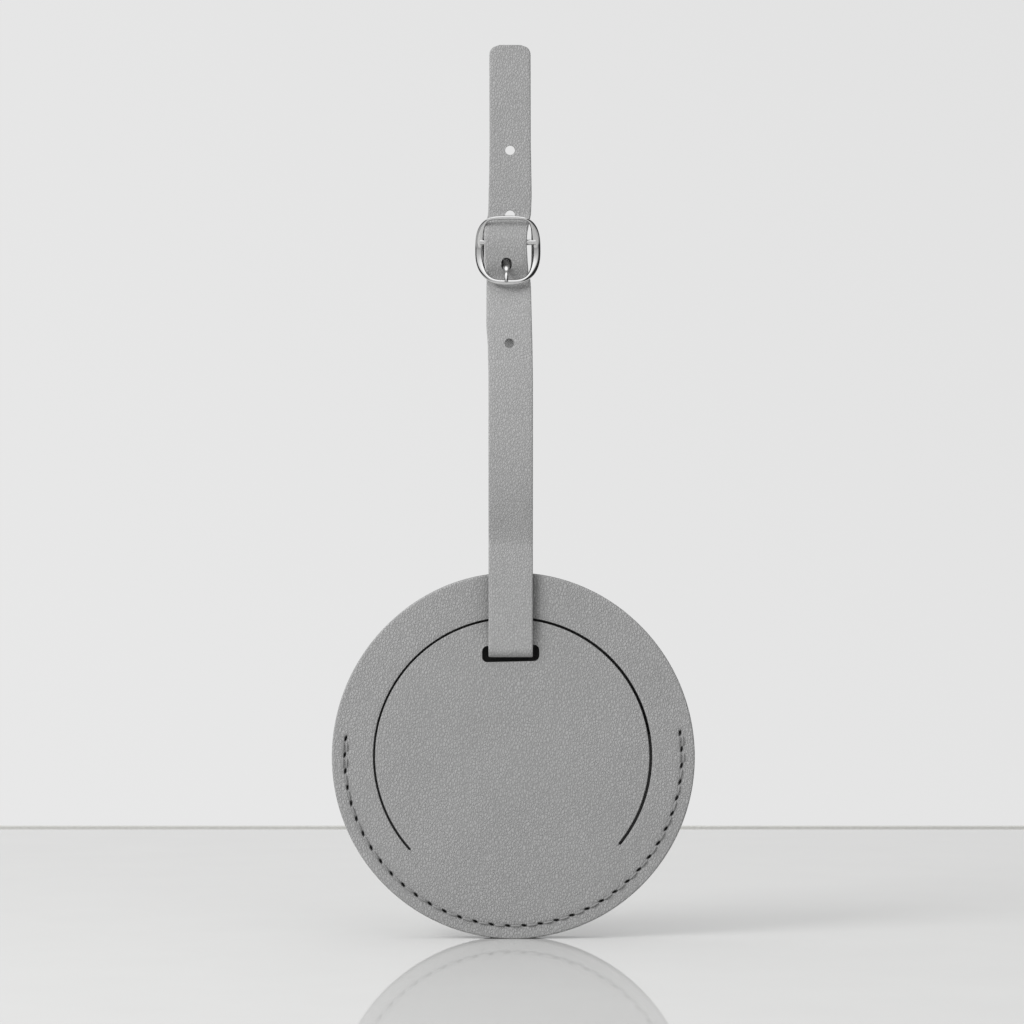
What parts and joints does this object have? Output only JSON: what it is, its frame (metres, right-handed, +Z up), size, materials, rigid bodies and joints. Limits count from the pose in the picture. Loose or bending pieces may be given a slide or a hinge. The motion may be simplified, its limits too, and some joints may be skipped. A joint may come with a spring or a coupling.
{
  "type": "tracker tag holder",
  "caption": "Round stitched leather tag with a slotted front flap, a pocket with a slim wireless tracker, and a narrow strap with a centre-bar buckle.",
  "frame": {"origin": "bottom of the rim, midway across the width and the depth, on the surface that the tag stands on", "axes": "+Z up along the strap, -Y towards the flap side"},
  "size_m": [0.082, 0.0162, 0.2022],
  "materials": {
    "leather": "grey pebbled faux leather, matt",
    "lining": "dense felt-like lining board",
    "thread": "twisted polyester thread",
    "chrome": "polished nickel-chrome plate",
    "shell": "fine matt moulded plastic",
    "steel": "bright stamped steel",
    "rubber": "soft matt rubber",
    "board": "green solder mask",
    "ceramic": "fired ceramic chip",
    "brass": "satin spring brass",
    "lens": "clear moulded plastic"
  },
  "bodies": {
    "tag_body": {"front_panel": "leather", "back_panel": "leather", "pocket_spacer": "lining", "seam_thread_front": "thread", "seam_thread_back": "thread", "strap_slot_run": "leather", "strap_bend_front": "leather", "strap_bend_back": "leather"},
    "flap_cover": {"flap": "leather"},
    "strap_loop": {"strap_front_leg": "leather", "strap_back_leg": "leather", "tab_stitch_left": "thread", "tab_stitch_right": "thread"},
    "buckle": {"buckle_frame": "chrome"},
    "prong": {"buckle_prong": "chrome"},
    "tracker": {"tracker_front_shell": "shell", "tracker_rear_shell": "shell", "door_seal": "rubber", "circuit_board": "board", "radio_shield": "steel", "chip_antenna": "ceramic", "crystal": "steel", "coin_cell": "steel", "contact_plus": "brass", "contact_minus": "brass", "piezo_buzzer": "brass", "tact_switch": "steel", "status_led": "ceramic", "light_pipe": "lens", "board_screw_1": "steel", "board_screw_2": "steel", "board_screw_3": "steel"},
    "button": {"push_button": "shell"},
    "door": {"battery_door": "shell"}
  },
  "joints": [
    {"name": "flap_fold", "type": "hinge", "parent": "tag_body", "child": "flap_cover", "pos_m": [0, -0.0029, 0.0202], "axis": [1, 0, 0], "range_deg": [0, 110], "stiffness_Nm_per_rad": 0.02, "deforming": ["strap_slot_run"]},
    {"name": "strap_swing", "type": "hinge", "parent": "tag_body", "child": "strap_loop", "pos_m": [0, 0, 0.0868], "axis": [1, 0, 0], "range_deg": [-90, 90], "stiffness_Nm_per_rad": 0.02, "deforming": ["strap_bend_front", "strap_bend_back"]},
    {"name": "buckle_rock", "type": "hinge", "parent": "strap_loop", "child": "buckle", "pos_m": [0, 0.0009, 0.1576], "axis": [1, 0, 0], "range_deg": [-1, 1]},
    {"name": "prong_lift", "type": "hinge", "parent": "buckle", "child": "prong", "pos_m": [0, 0.0009, 0.1576], "axis": [-1, 0, 0], "range_deg": [0, 2]},
    {"name": "tracker_slide", "type": "slide", "parent": "tag_body", "child": "tracker", "axis": [0, 0, 1], "range_m": [0, 0.0012]},
    {"name": "button_press", "type": "slide", "parent": "tracker", "child": "button", "axis": [0, 1, 0], "range_m": [0, 0.00025], "stiffness_N_per_m": 400},
    {"name": "battery_door_turn", "type": "hinge", "parent": "tracker", "child": "door", "pos_m": [0, 0.0016, 0.034], "axis": [0, 1, 0], "range_deg": [0, 20]}
  ]
}
